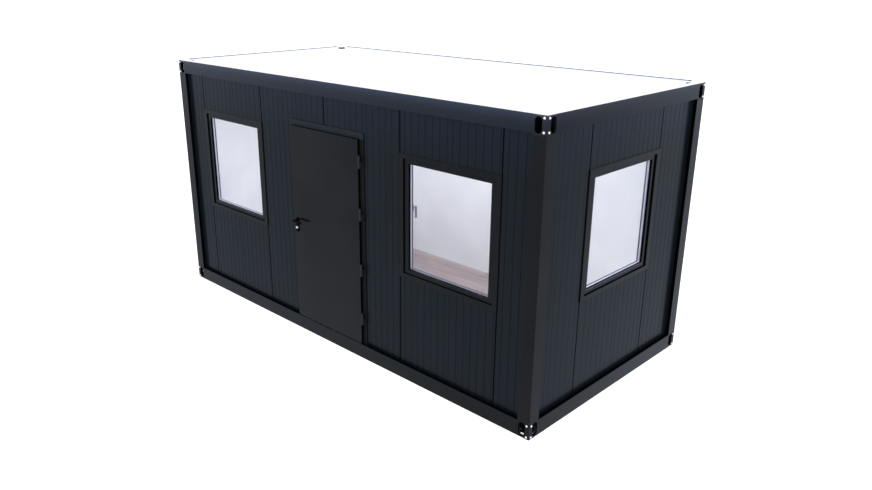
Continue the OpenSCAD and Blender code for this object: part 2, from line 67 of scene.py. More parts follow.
class Wire:
    # one shader socket; sums on it add Math nodes

    def __init__(self, tree, socket):
        self.tree = tree
        self.socket = socket

    def node(self, kind, settings, sockets, out=0):
        made = self.tree.nodes.new("ShaderNode" + kind)
        for key, value in settings.items():
            if key == "stops":
                fillRamp(made.color_ramp, value)
            else:
                setattr(made, key, value)
        for key, value in sockets.items():
            if isinstance(value, Wire):
                self.tree.links.new(value.socket, made.inputs[key])
            else:
                made.inputs[key].default_value = value
        return Wire(self.tree, made.outputs[out])

    def sum(self, operation, first, second=0.0):
        return self.node("Math", {"operation": operation}, {0: first, 1: second})

    def __add__(self, other):
        return self.sum("ADD", self, other)

    def __sub__(self, other):
        return self.sum("SUBTRACT", self, other)

    def __rsub__(self, other):
        return self.sum("SUBTRACT", other, self)

    def __mul__(self, other):
        return self.sum("MULTIPLY", self, other)

    def __truediv__(self, other):
        return self.sum("DIVIDE", self, other)

    def __lt__(self, other):
        return self.sum("LESS_THAN", self, other)

    def __gt__(self, other):
        return self.sum("GREATER_THAN", self, other)

    def __abs__(self):
        return self.sum("ABSOLUTE", self)

    __radd__ = __add__
    __rmul__ = __mul__

    def floor(self):
        return self.sum("FLOOR", self)

    def rest(self):
        return self.sum("FRACT", self)

    def blend(self, first, second):
        # two colours, mixed by this value
        return self.node(
            "Mix", {"data_type": "RGBA"}, {0: self, 6: opaque(first), 7: opaque(second)}, out=2
        )

    def noise(self, scale, detail=2.0, roughness=0.5, stretch=(1, 1, 1)):
        spread = self.node("VectorMath", {"operation": "MULTIPLY"}, {0: self, 1: stretch})
        return self.node(
            "TexNoise", {}, {"Vector": spread, "Scale": scale, "Detail": detail, "Roughness": roughness}
        )

    def span(self, low, high):
        # stretches low..high to 0..1
        return self.node("MapRange", {}, {"Value": self, "From Min": low, "From Max": high})

    def axis(self, letter):
        return self.node("SeparateXYZ", {}, {0: self}, out=letter)

    def facing(self):
        # the way the surface looks
        return self.node("NewGeometry", {}, {}, out="Normal")

    def bump(self, height, strength=0.3):
        return self.node("Bump", {}, {"Height": self, "Distance": height, "Strength": strength})


def opaque(colour):
    # plain rgb gets an alpha, links pass through
    return colour if isinstance(colour, Wire) else (*colour, 1.0)


def fillRamp(ramp, stops):
    while len(ramp.elements) < len(stops):
        ramp.elements.new(1.0)
    for element, (spot, colour) in zip(ramp.elements, stops):
        element.position = spot
        element.color = opaque(colour)


def newFinish(name, fixed):
    # a material with a Principled shader; returns it, the shader and the place on the object in metres
    finish = bpy.data.materials.new(name)
    finish.use_nodes = True
    tree = finish.node_tree
    tree.nodes.clear()
    shader = tree.nodes.new("ShaderNodeBsdfPrincipled")
    end = tree.nodes.new("ShaderNodeOutputMaterial")
    tree.links.new(shader.outputs[0], end.inputs[0])
    for socket, value in fixed.items():
        shader.inputs[socket].default_value = value
    place = Wire(tree, tree.nodes.new("ShaderNodeTexCoord").outputs["Object"])
    return finish, shader, place


def feed(shader, **wires):
    names = {
        "colour": "Base Color", "roughness": "Roughness", "metallic": "Metallic",
        "normal": "Normal", "alpha": "Alpha",
    }
    for key, wire in wires.items():
        wire.tree.links.new(wire.socket, shader.inputs[names[key]])


# finishes

midTones = (0.35, 0.65)  # the part of a noise's range that is stretched to 0..1


def between(ends, share):
    low, high = ends
    return low + (high - low) * share


def within(place, depth):
    # 1 where a place lies deeper than depth behind the cabin's outer faces
    inX = abs(place.axis("X")) < cadBox[1].x - depth
    inY = abs(place.axis("Y")) < cadBox[1].y - depth
    return inX * inY


def makeClouded(name, look):
    # a finish whose tone, gloss and metal vary together in soft clouds, which are its relief too
    # where no grain is given; cloud holds scale and detail, bump holds height and strength
    finish, shader, place = newFinish(name, {"Specular IOR Level": look["specular"]})
    scale, detail = look["cloud"]
    cloud = place.noise(scale, detail, stretch=look.get("stretch", (1, 1, 1))).span(*look["span"])
    grain = place.noise(look["grain"]) if "grain" in look else cloud
    feed(
        shader,
        colour=cloud.blend(*look["tones"]),
        roughness=between(look["roughness"], cloud),
        normal=grain.bump(*look["bump"]),
    )
    if "metallic" in look:
        feed(shader, metallic=between(look["metallic"], cloud))
    return finish


charcoalPaint = {
    "dark": (0.0030, 0.0031, 0.0036),
    "light": (0.0044, 0.0045, 0.0051),
    "specular": 0.18,
    "coat": 0.5,
    "coatIor": 1.25,
    "coatRoughness": 0.12,
    "roughness": (0.20, 0.27),
    "cloudScale": 2.3,
    "peelScale": 260.0,  # powder coat texture, grains per metre
    "peel": (0.0004, 0.25),  # height and strength of its bump
    "dust": (0.030, 0.028, 0.026),
    "dustHeight": 0.16,
    "dustScale": 9.0,
    "dustSpan": (0.5, 0.8),
    "dustMost": 0.10,
    "head": (0.0044, 0.0054, 0.0084),  # painted sky sheen: the tops of the posts are painted bluer
    "skySheenFrom": (2.16, 2.46),
}


def clearLayer(look):
    # fixed sockets of the clear layer over the frame's paint
    return {
        "Specular IOR Level": look["specular"],
        "Coat Weight": look["coat"],
        "Coat IOR": charcoalPaint["coatIor"],
        "Coat Roughness": charcoalPaint["coatRoughness"],
    }


def powderCoat(place):
    # soft clouds over the paint, and the bump of its fine peel
    cloud = place.noise(charcoalPaint["cloudScale"], detail=4.0).span(*midTones)
    peel = place.noise(charcoalPaint["peelScale"], detail=1.0)
    return cloud, peel.bump(*charcoalPaint["peel"])


def makeCharcoalPaint():
    look = charcoalPaint
    finish, shader, place = newFinish("charcoal_powder_coat_painted_sky_head", clearLayer(look))
    cloud, peel = powderCoat(place)
    height = place.axis("Z")
    low = 1 - height.span(0.0, look["dustHeight"])
    dust = low * place.noise(look["dustScale"], detail=5.0).span(*look["dustSpan"]) * look["dustMost"]
    # painted sky sheen: from this height band upwards the paint blends to the bluer head colour
    head = height.span(*look["skySheenFrom"])
    coat = head.blend(cloud.blend(look["dark"], look["light"]), look["head"])
    feed(
        shader,
        colour=dust.blend(coat, look["dust"]),
        roughness=between(look["roughness"], cloud),
        normal=peel,
    )
    return finish


charcoal = makeCharcoalPaint()

headPaint = {
    "low": (0.0098, 0.0124, 0.0208),
    "high": (0.030, 0.041, 0.072),  # painted sky sheen: the top edge is painted lighter and bluer
    "inner": (0.0010, 0.0010, 0.0013),  # painted shade: near black inside the blocks and behind the rails
    "paintedShadeFrom": 0.004,
    # darker painted copies of low and high, for the faces at the ends
    "endLow": (0.0034, 0.0042, 0.0074),
    "endHigh": (0.016, 0.021, 0.038),
    "endFacing": 0.7,  # share of X in the normal from which a face counts as an end
    "glow": (0.92, 1.00),
    "specular": 0.15,
    "coat": 0.42,
    "roughness": (0.26, 0.31),
}


def makeHeadPaint(lowZ, highZ):
    # the frame's paint along the roof, with a painted sky sheen rising from lowZ up to highZ, darker
    # painted copies of it on the end faces, and painted shade inside the blocks and behind the rails
    look = headPaint
    finish, shader, place = newFinish("charcoal_head_coat_painted_sky_sheen", clearLayer(look))
    cloud, peel = powderCoat(place)
    # painted sky sheen, growing towards the top
    rise = place.axis("Z").span(lowZ, highZ)
    glow = rise * rise * rise * between(look["glow"], cloud)
    onEnd = abs(place.facing().axis("X")) > look["endFacing"]
    side = glow.blend(look["low"], look["high"])
    coat = onEnd.blend(side, glow.blend(look["endLow"], look["endHigh"]))
    feed(
        shader,
        # painted shade: near black deeper in than the outer faces
        colour=within(place, look["paintedShadeFrom"]).blend(coat, look["inner"]),
        roughness=between(look["roughness"], cloud),
        normal=peel,
    )
    return finish


headCoat = makeHeadPaint(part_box("top_corner_blocks")[0].z, cadBox[1].z)

jambPaint = {
    "dark": (0.0075, 0.0076, 0.0088),
    "light": (0.0092, 0.0093, 0.0106),
    # painted sky light: the frame above the door is painted lighter and bluer
    "head": (0.0150, 0.0185, 0.0260),
    "specular": 0.08,
    "roughness": (0.42, 0.50),
}


def makeJambPaint(headZ):
    # matt paint of the door frame, painted lighter and bluer above headZ as painted sky light
    look = jambPaint
    finish, shader, place = newFinish("charcoal_matt_coat_painted_sky_head", {"Specular IOR Level": look["specular"]})
    cloud, peel = powderCoat(place)
    jamb = cloud.blend(look["dark"], look["light"])
    feed(
        shader,
        colour=(place.axis("Z") > headZ).blend(jamb, look["head"]),
        roughness=between(look["roughness"], cloud),
        normal=peel,
    )
    return finish


jambCoat = makeJambPaint(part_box("door_leaf")[1].z)

glassLap = 0.012  # how far the glass runs behind the window frames
# painted room light: glow is the colour painted on upward faces of the ledge below the glass
sillPaint = {"glow": (0.20, 0.26, 0.42), "lip": 0.004, "facing": (0.3, 0.9)}


def makeSillPaint(sightZ):
    # the frame's paint, with painted room light on the ledge below the glass, whose edge is at sightZ
    look = sillPaint
    paint = charcoalPaint
    finish, shader, place = newFinish("charcoal_sill_coat_painted_room_light", clearLayer(paint))
    cloud, peel = powderCoat(place)
    upward = place.facing().axis("Z").span(*look["facing"])
    ledge = abs(place.axis("Z") - sightZ) < look["lip"]
    feed(
        shader,
        colour=(upward * ledge).blend(cloud.blend(paint["dark"], paint["light"]), look["glow"]),
        roughness=between(paint["roughness"], cloud),
        normal=peel,
    )
    return finish


sillCoat = makeSillPaint(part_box("right_window_glass")[0].z + glassLap)

# painted sheen: a lighter copy of the charcoal paint, for the light that the round sleeves catch
hingePaint = {
    "tones": ((0.016, 0.016, 0.021), (0.022, 0.022, 0.028)),
    "specular": 0.25,
    "cloud": (14.0, 4.0),
    "span": midTones,
    "roughness": (0.38, 0.46),
    "grain": 500.0,
    "bump": (0.0002, 0.2),
}
hingeCoat = makeClouded("charcoal_hinge_sleeve_painted_sheen", hingePaint)

panelSkin = {
    "outside": ((0.0037, 0.0066, 0.0104), (0.0043, 0.0075, 0.0116)),
    # painted shade darkens the rib grooves of the long walls, and painted light lightens those of the end
    # walls
    "groove": (0.0006, 0.0010, 0.0016),
    "grooveDepth": (0.0006, 0.0040),  # behind the panel face
    "litEndGroove": (0.0075, 0.0110, 0.0160),
    "head": (0.0048, 0.0100, 0.0195),  # painted sky sheen: the top of the walls is painted bluer
    "skySheenFrom": (2.1, 2.55),
    "inside": ((0.74, 0.75, 0.79), (0.80, 0.81, 0.84)),
    "insideDepth": 0.10,  # from the outer frame faces to where the white lining begins
    "insideScale": 3.0,
    "specular": 0.22,
    "roughness": (0.24, 0.27),
    "insideRougher": 0.1,
    "streakScale": 30.0,
    "streakStretch": (1, 1, 0.04),
    "grainScale": 180.0,
    "grain": (0.0004, 0.14),
}


def makePanelSkin(wallX, wallY):
    # wallX and wallY are the places of the outer skins
    look = panelSkin
    finish, shader, place = newFinish("anthracite_panel_skin_painted_light", {"Specular IOR Level": look["specular"]})
    indoors = within(place, look["insideDepth"])
    near, far = look["grooveDepth"]
    # painted shade in the grooves of the long walls
    behind = wallY - abs(place.axis("Y"))
    groove = (behind > near) * (behind < far)
    # painted light in the grooves of the end walls
    behindEnd = wallX - abs(place.axis("X"))
    litEndGroove = (behindEnd > near) * (behindEnd < far)
    head = place.axis("Z").span(*look["skySheenFrom"])
    streak = place.noise(look["streakScale"], detail=3.0, stretch=look["streakStretch"]).span(*midTones)
    grain = place.noise(look["grainScale"]) * (1 - indoors)
    # painted sky sheen: bluer towards the top of the walls
    face = head.blend(streak.blend(*look["outside"]), look["head"])
    outside = groove.blend(litEndGroove.blend(face, look["litEndGroove"]), look["groove"])
    inside = place.noise(look["insideScale"], detail=4.0).span(*midTones).blend(*look["inside"])
    feed(
        shader,
        colour=indoors.blend(outside, inside),
        roughness=between(look["roughness"], streak) + look["insideRougher"] * indoors,
        normal=grain.bump(*look["grain"]),
    )
    return finish


anthracite = makePanelSkin(abs(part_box("left_wall")[0].x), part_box("back_wall")[1].y)

roofWhite = {
    "clean": (0.74, 0.75, 0.77),
    "dusty": (0.68, 0.69, 0.70),
    "upright": (0.96, 0.96, 0.97),
    "shade": (0.110, 0.175, 0.360),  # folded edges that look away from the light
    "sealEdge": (0.003, 0.003, 0.005),
    "capEdge": (0.012, 0.014, 0.020),
    "flashingEdgeSheen": (0.030, 0.040, 0.070),  # the fold that turns down to the dark rails, painted dark like them with the blue of their painted sky sheen
    "steep": 0.5,  # share of Z in the normal below which a face counts as upright
    "specular": 0.3,
    "cloudScale": 1.4,
    "cloudSpan": (0.42, 0.72),
    "grainScale": 220.0,
    "grain": (0.0003, 0.2),
    "roughness": (0.50, 0.62),
}


def makeRoofWhite(name, inward, outward):
    # inward and outward colour the upright faces that look to the middle of the roof and away from it
    look = roofWhite
    finish, shader, place = newFinish(name, {"Specular IOR Level": look["specular"]})
    cloud = place.noise(look["cloudScale"], detail=6.0, roughness=0.6).span(*look["cloudSpan"])
    facing = place.facing()
    upright = abs(facing.axis("Z")) < look["steep"]
    away = place.node("VectorMath", {"operation": "DOT_PRODUCT"}, {0: facing, 1: place}, out="Value") > 0
    edge = away.blend(inward, outward)
    feed(
        shader,
        colour=upright.blend(cloud.blend(look["clean"], look["dusty"]), edge),
        roughness=between(look["roughness"], cloud),
        normal=place.noise(look["grainScale"]).bump(*look["grain"]),
    )
    return finish


white = makeRoofWhite("white_roof_coat", roofWhite["upright"], roofWhite["upright"])
capWhite = makeRoofWhite("white_cap_coat", roofWhite["shade"], roofWhite["capEdge"])
flashingWhite = makeRoofWhite("white_flashing_coat", roofWhite["upright"], roofWhite["flashingEdgeSheen"])
lipWhite = makeRoofWhite("white_lip_coat", roofWhite["shade"], roofWhite["upright"])
sealWhite = makeRoofWhite("white_seal_coat", roofWhite["sealEdge"], roofWhite["upright"])

liningWhite = {
    "tones": ((0.80, 0.81, 0.84), (0.76, 0.77, 0.80)),
    "specular": 0.25,
    "cloud": (2.5, 3.0),
    "span": (0.4, 0.65),
    "roughness": (0.55, 0.65),
    "grain": 300.0,
    "bump": (0.0003, 0.15),
}
lining = makeClouded("white_lining", liningWhite)

sashWhite = {
    "tones": ((0.72, 0.73, 0.77), (0.66, 0.67, 0.72)),
    "specular": 0.4,
    "cloud": (6.0, 3.0),
    "span": (0.4, 0.65),
    "roughness": (0.30, 0.40),
    "grain": 150.0,
    "bump": (0.0003, 0.08),
}
profile = makeClouded("white_window_profile", sashWhite)

laminate = {
    "boardWidth": 0.19,
    "boardLength": 1.29,
    "stagger": 0.37,  # share of a board's length from row to row
    "joint": 0.0022,
    "tones": [(0.0, (0.255, 0.194, 0.188)), (0.5, (0.338, 0.260, 0.250)), (1.0, (0.440, 0.348, 0.336))],
    "ownTone": 0.6,  # share of a board's own tone, the rest is its figure
    "figureShift": 7.0,  # metres between the figures of two boards, at most
    "figureScale": 3.0,
    "figureStretch": (0.5, 4.0, 1.0),
    "grain": (0.178, 0.128, 0.118),
    "grainScale": 11.0,
    "grainStretch": (0.35, 5.0, 1.0),
    "grainSpan": (0.38, 0.68),
    "grainMost": 0.45,
    "seam": (0.05, 0.04, 0.04),
    "seamMost": 0.7,
    "raw": ((0.30, 0.22, 0.13), (0.42, 0.32, 0.20)),  # chipboard below the boards
    "rawBelow": 0.0005,
    "rawRougher": 0.2,
    "chipScale": 70.0,
    "specular": 0.35,
    "roughness": (0.42, 0.60),
    "grainRelief": 0.15,  # depth of the grain against that of a joint
    "relief": (0.0008, 0.35),
}


def makeLaminate(topZ):
    look = laminate
    finish, shader, place = newFinish("grey_wood_laminate", {"Specular IOR Level": look["specular"]})
    across = place.axis("Y") / look["boardWidth"]
    row = across.floor()
    along = place.axis("X") / look["boardLength"] + row * look["stagger"]
    pair = place.node("CombineXYZ", {}, {0: row, 1: along.floor()})
    chance = place.node("TexWhiteNoise", {"noise_dimensions": "3D"}, {"Vector": pair})
    shift = place.node("CombineXYZ", {}, {0: chance * look["figureShift"], 2: chance})
    shifted = place.node("VectorMath", {"operation": "ADD"}, {0: place, 1: shift})
    grain = shifted.noise(look["grainScale"], detail=6.0, roughness=0.6, stretch=look["grainStretch"])
    grain = grain.span(*look["grainSpan"])
    figure = shifted.noise(look["figureScale"], detail=3.0, stretch=look["figureStretch"]).span(*midTones)
    mixed = chance * look["ownTone"] + figure * (1 - look["ownTone"])
    tone = mixed.node("ValToRGB", {"stops": look["tones"]}, {0: mixed})
    edgeAcross = abs(across.rest() - 0.5) > 0.5 - look["joint"] / look["boardWidth"]
    edgeAlong = abs(along.rest() - 0.5) > 0.5 - look["joint"] / look["boardLength"]
    joint = edgeAcross.sum("MAXIMUM", edgeAcross, edgeAlong)
    surface = (grain * look["grainMost"]).blend(tone, look["grain"])
    seamed = (joint * look["seamMost"]).blend(surface, look["seam"])
    chips = place.noise(look["chipScale"], detail=5.0).span(*midTones).blend(*look["raw"])
    under = place.axis("Z") < topZ - look["rawBelow"]
    feed(
        shader,
        colour=under.blend(seamed, chips),
        roughness=between(look["roughness"], grain) + look["rawRougher"] * under,
        normal=(grain * look["grainRelief"] - joint).bump(*look["relief"]),
    )
    return finish


boards = makeLaminate(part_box("floor_deck")[1].z)

zincSteel = {
    "tones": ((0.34, 0.36, 0.38), (0.56, 0.58, 0.60)),
    "spangleScale": 55.0,
    "spangle": 0.6,  # share of the spangle in the tone, the rest is cloud
    "cloudScale": 4.0,
    "cloudSpan": (0.3, 0.7),
    "roughness": (0.36, 0.58),
    "metallic": (0.75, 0.95),
    "grain": 90.0,
    "bump": (0.0003, 0.1),
}


def makeZincSteel():
    look = zincSteel
    finish, shader, place = newFinish("galvanised_steel", {})
    cells = place.node("TexVoronoi", {}, {"Vector": place, "Scale": look["spangleScale"]}, out=1)
    tone = cells.axis("X")
    cloud = place.noise(look["cloudScale"], detail=4.0).span(*look["cloudSpan"])
    feed(
        shader,
        colour=(tone * look["spangle"] + cloud * (1 - look["spangle"])).blend(*look["tones"]),
        roughness=between(look["roughness"], tone),
        metallic=between(look["metallic"], cloud),
        normal=place.noise(look["grain"]).bump(*look["bump"]),
    )
    return finish


zinc = makeZincSteel()

boltZinc = {
    "tones": ((0.98, 0.98, 0.98), (0.90, 0.91, 0.92)),
    "specular": 0.6,
    "cloud": (160.0, 3.0),
    "span": (0.4, 0.75),
    "roughness": (0.28, 0.43),
    "metallic": (0.06, 0.14),
    "grain": 700.0,
    "bump": (0.0002, 0.1),
}
bolt = makeClouded("bright_zinc", boltZinc)

lockMetal = {
    "tones": ((0.95, 0.95, 0.96), (0.84, 0.84, 0.85)),
    "specular": 0.5,
    "cloud": (240.0, 2.0),
    "stretch": (1, 0.1, 1),  # drawn out along the lock's axis
    "span": midTones,
    "roughness": (0.24, 0.40),
    "metallic": (0.15, 0.30),
    "bump": (0.0001, 0.2),
}
nickel = makeClouded("satin_nickel", lockMetal)

handleGrey = {
    "tones": ((0.20, 0.20, 0.22), (0.15, 0.15, 0.17)),
    "specular": 0.5,
    "cloud": (300.0, 2.0),
    "stretch": (1, 1, 0.06),  # brushed upwards
    "span": midTones,
    "roughness": (0.34, 0.48),
    "metallic": (0.5, 0.7),
    "bump": (0.0001, 0.15),
}
grey = makeClouded("satin_grey_aluminium", handleGrey)

handleBlack = {
    "tones": ((0.0016, 0.0016, 0.0020), (0.0040, 0.0040, 0.0046)),
    "specular": 0.03,
    "cloud": (25.0, 3.0),
    "span": (0.5, 0.75),
    "roughness": (0.34, 0.49),
    "grain": 900.0,
    "bump": (0.0002, 0.25),
}
black = makeClouded("black_moulded_handle", handleBlack)

# black rubber of the real gaskets, also used for black strips that are painted shade in grooves, joints,
# reveals and the keyway
sealRubberAndShade = {
    "tones": ((0.0012, 0.0012, 0.0016), (0.0030, 0.0030, 0.0034)),
    "specular": 0.0,
    "cloud": (40.0, 4.0),
    "span": (0.45, 0.7),
    "roughness": (0.72, 0.87),
    "grain": 500.0,
    "bump": (0.0002, 0.2),
}
rubberAndShade = makeClouded("black_seal_rubber_and_painted_shade", sealRubberAndShade)

# slate for the butyl, and painted shade for the bead, which stands in for the shaded inner face of the
# white sash
butylAndShadedBead = {
    "tones": ((0.012, 0.014, 0.034), (0.018, 0.020, 0.044)),
    "specular": 0.3,
    "cloud": (60.0, 3.0),
    "span": (0.4, 0.7),
    "roughness": (0.55, 0.67),
    "grain": 400.0,
    "bump": (0.0002, 0.15),
}
bead = makeClouded("slate_butyl_and_shaded_bead", butylAndShadedBead)

spacerMetal = {
    "tones": ((0.50, 0.52, 0.66), (0.42, 0.44, 0.57)),
    "foot": {  # painted light and shade on the bottom run of each window's spacer, set window by window
        "front_left": (0.80, 0.84, 1.0),
        "front_right": (0.17, 0.17, 0.23),
        "right": (0.64, 0.68, 0.84),
    },
    "footHeight": 0.004,
    "specular": 0.4,
    "rollScale": 120.0,
    "roughness": (0.40, 0.52),
    "metallic": (0.25, 0.40),
    "bump": (0.0001, 0.1),
}


def makeSpacerMetal(window, sightZ):
    # sightZ is the lower edge of the visible glass
    look = spacerMetal
    finish, shader, place = newFinish(window + "_glazing_spacer", {"Specular IOR Level": look["specular"]})
    rolled = place.noise(look["rollScale"]).span(*midTones)
    # painted light and shade: the bottom run takes its window's own colour
    foot = place.axis("Z") < sightZ + look["footHeight"]
    feed(
        shader,
        colour=foot.blend(rolled.blend(*look["tones"]), look["foot"][window]),
        roughness=between(look["roughness"], rolled),
        metallic=between(look["metallic"], rolled),
        normal=rolled.bump(*look["bump"]),
    )
    return finish


paneGlass = {
    "tones": ((0.90, 0.93, 0.96), (0.82, 0.86, 0.90)),
    "roughness": 0.02,
    "hazeScale": 1.6,
    "hazeSpan": (0.45, 0.75),
    "veil": (0.045, 0.070),  # how much of the reflection shows
}


def makePaneGlass():
    look = paneGlass
    finish, shader, place = newFinish("clear_pane", {"Metallic": 1.0, "Roughness": look["roughness"]})
    haze = place.noise(look["hazeScale"], detail=4.0).span(*look["hazeSpan"])
    feed(
        shader,
        colour=haze.blend(*look["tones"]),
        alpha=between(look["veil"], haze),
    )
    return finish


pane = makePaneGlass()

slotFinish = {
    "frame_paint": charcoal,
    "panel_skin": anthracite,
    "roof_white": white,
    "lining_white": lining,
    "sash_white": profile,
    "window_glass": pane,
    "floor_laminate": boards,
    "zinc_steel": zinc,
    "lock_metal": nickel,
    "handle_grey": grey,
    "handle_black": black,
}
nodeFinish = {
    "top_corner_blocks": headCoat,
    "corner_caps": capWhite,
    "roof_flashing": flashingWhite,
    "front_left_window_frame": sillCoat,
    "right_window_frame": sillCoat,
    "door_frame": jambCoat,
    "door_frame_hinges": hingeCoat,
    "door_leaf_hinges": hingeCoat,
}
for sideName in ("front", "right", "back", "left"):
    nodeFinish["top_rail_" + sideName] = headCoat
for part in frame["record"]["subparts"]:
    node = nodes[part["node"]]
    node.data.materials.clear()
    node.data.materials.append(nodeFinish.get(part["node"], slotFinish[part["material_slot"]]))
print("finishes made and laid on the nodes")


# edges of the folded and cast pieces

edgeStyle = {"weld": 0.00002, "segments": 3, "angle": 40.0}
edgeRadius = {
    "post": 0.0020,
    "rail": 0.0005,
    "corner_blocks": 0.0016,
    "corner_caps": 0.0010,
    "window_frame": 0.0020,
    "window_sash": 0.0030,
    "door_frame": 0.0020,
    "door_leaf": 0.0022,
    "hinges": 0.0020,
    "handle_plates": 0.0028,
    "door_lever": 0.0045,
    "window_handles": 0.0032,
    "door_sill": 0.0020,
}


def softenEdges(node, radius):
    weld = node.modifiers.new("weld", "WELD")
    weld.merge_threshold = edgeStyle["weld"]
    bevel = node.modifiers.new("edges", "BEVEL")
    bevel.width = radius
    bevel.segments = edgeStyle["segments"]
    bevel.limit_method = "ANGLE"
    bevel.angle_limit = math.radians(edgeStyle["angle"])
    bevel.use_clamp_overlap = True
    shade = node.modifiers.new("shade", "WEIGHTED_NORMAL")
    shade.keep_sharp = False


for name, node in nodes.items():
    for word, radius in edgeRadius.items():
        if word in name:
            softenEdges(node, radius)
            break
print("edges rounded")


# meshes

def putPiece(name, mesh, finish, body):
    data = bpy.data.meshes.new(name)
    bmesh.ops.recalc_face_normals(mesh, faces=mesh.faces)
    mesh.to_mesh(data)
    mesh.free()
    data.materials.append(finish)
    piece = bpy.data.objects.new(name, data)
    bpy.context.scene.collection.objects.link(piece)
    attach(piece, body)
    return piece


def addSweep(mesh, section, start, end, across, up):
    # a closed section carried from start to end
    rings = []
    for middle in (start, end):
        rings.append([mesh.verts.new(middle + across * a + up * b) for a, b in section])
    count = len(section)
    for i in range(count):
        j = (i + 1) % count
        mesh.faces.new((rings[0][i], rings[0][j], rings[1][j], rings[1][i]))
    mesh.faces.new(rings[0])
    mesh.faces.new(rings[1])


def addRing(mesh, section, halfWidth, halfHeight, place):
    # a mitred frame; the section is (out from the opening, depth into the wall)
    corners = []
    for sx, sz in ((-1, -1), (1, -1), (1, 1), (-1, 1)):
        corners.append([
            mesh.verts.new(place @ Vector((sx * (halfWidth + out), depth, sz * (halfHeight + out))))
            for out, depth in section
        ])
    count = len(section)
    for c in range(4):
        here = corners[c]
        there = corners[(c + 1) % 4]
        for i in range(count):
            j = (i + 1) % count
            mesh.faces.new((here[i], here[j], there[j], there[i]))


def addLathe(mesh, section, place, sides, hexFrom=None):
    # a turned shape about local Z; rings from hexFrom on are six-sided
    rings = []
    for index, (radius, height) in enumerate(section):
        ring = []
        for k in range(sides):
            turn = 2 * math.pi * k / sides
            reach = radius
            if hexFrom is not None and index >= hexFrom:
                reach = radius / math.cos((turn + math.pi / 6) % (math.pi / 3) - math.pi / 6)
            spot = Vector((reach * math.cos(turn), reach * math.sin(turn), height))
            ring.append(mesh.verts.new(place @ spot))
        rings.append(ring)
    for lower, upper in zip(rings, rings[1:]):
        for k in range(sides):
            n = (k + 1) % sides
            mesh.faces.new((lower[k], lower[n], upper[n], upper[k]))
    mesh.faces.new(rings[0])
    mesh.faces.new(rings[-1])


def addBox(mesh, low, high, place=Matrix()):
    corners = [
        mesh.verts.new(place @ Vector((x, y, z)))
        for x in (low[0], high[0]) for y in (low[1], high[1]) for z in (low[2], high[2])
    ]
    for face in ((0, 1, 3, 2), (4, 6, 7, 5), (0, 4, 5, 1), (2, 3, 7, 6), (0, 2, 6, 4), (1, 5, 7, 3)):
        mesh.faces.new([corners[i] for i in face])


def halfRun(side):
    # half the length of a side; side 0 is the front, then anticlockwise
    return cabinHalf.x if side % 2 == 0 else cabinHalf.y


def onSide(side, along=0.0, height=0.0):
    # local x runs along the wall, y into it
    reach = halfRun(side + 1)
    turned = Matrix.Rotation(math.radians(90 * side), 4, "Z")
    return turned @ Matrix.Translation((along, -reach, height))


postLow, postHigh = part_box("post_front_left")
cabinHalf = Vector((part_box("corner_caps")[1].x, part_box("corner_caps")[1].y, 0))
postWidth = postHigh.x - postLow.x
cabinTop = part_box("corner_caps")[1].z
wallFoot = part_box("back_wall")[0].z
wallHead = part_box("back_wall")[1].z
wallFace = cabinHalf.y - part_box("back_wall")[1].y


# bolts beside the slots of the corner blocks

cornerBolts = {
    "fromEdge": 0.026,
    "fromFoot": (0.019, 0.122),
    "fromTop": (0.021, 0.124),
    "sides": 24,
    "head": [  # radius and height of each ring
        (0.0092, -0.0005), (0.0092, 0.0012), (0.0082, 0.0016), (0.0082, 0.0028), (0.0076, 0.0044),
        (0.0062, 0.0054), (0.0046, 0.0056), (0.0036, 0.0056), (0.0036, 0.0032), (0.0004, 0.0030),
    ],
    "socketFrom": 7,
}


def makeCornerBolts():
    look = cornerBolts
    mesh = bmesh.new()
    heights = list(look["fromFoot"]) + [cabinTop - drop for drop in look["fromTop"]]
    for side in range(4):
        run = halfRun(side)
        for hand in (-1, 1):
            for height in heights:
                place = onSide(side, hand * (run - look["fromEdge"]), height)
                place = place @ Matrix.Rotation(math.radians(90), 4, "X")
                addLathe(mesh, look["head"], place, look["sides"], look["socketFrom"])
    putPiece("corner_bolts", mesh, bolt, "cabin")


makeCornerBolts()


# black edge guards round the slots of the corner blocks

slotGuards = {
    "inset": 0.075,
    "slot": (0.0250, 0.0570),  # half width and half height of the slot
    "guard": (0.0320, 0.0605),
    "proud": 0.0008,
    "inside": 0.0030,  # how far it reaches into the slot
    "sunk": 0.0002,  # how far its rim sinks into the block
    "steps": 12,
}


def addOblong(mesh, half, depth, place, steps):
    # a ring of points round an upright slot with round ends
    width, height = half
    ring = []
    for end in (1, -1):
        for k in range(steps + 1):
            turn = math.pi * k / steps
            x = end * width * math.cos(turn)
            z = end * (height - width + width * math.sin(turn))
            ring.append(mesh.verts.new(place @ Vector((x, depth, z))))
    return ring


def makeSlotGuards():
    look = slotGuards
    mesh = bmesh.new()
    blockLow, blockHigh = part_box("bottom_corner_blocks")
    middle = (blockHigh.z - blockLow.z) / 2
    for side in range(4):
        run = halfRun(side) - look["inset"]
        for hand in (-1, 1):
            for height in (middle, cabinTop - middle):
                place = onSide(side, hand * run, height)
                rings = [
                    addOblong(mesh, half, depth, place, look["steps"])
                    for half, depth in (
                        (look["slot"], look["inside"]), (look["slot"], -look["proud"]),
                        (look["guard"], -look["proud"]), (look["guard"], look["sunk"]),
                    )
                ]
                count = len(rings[0])
                for first, second in zip(rings, rings[1:]):
                    for i in range(count):
                        j = (i + 1) % count
                        mesh.faces.new((first[i], first[j], second[j], second[i]))
    putPiece("slot_guards", mesh, rubberAndShade, "cabin")


makeSlotGuards()


# black strips in the grooves between the walls and the frame, painted shade where the grooves fall dark

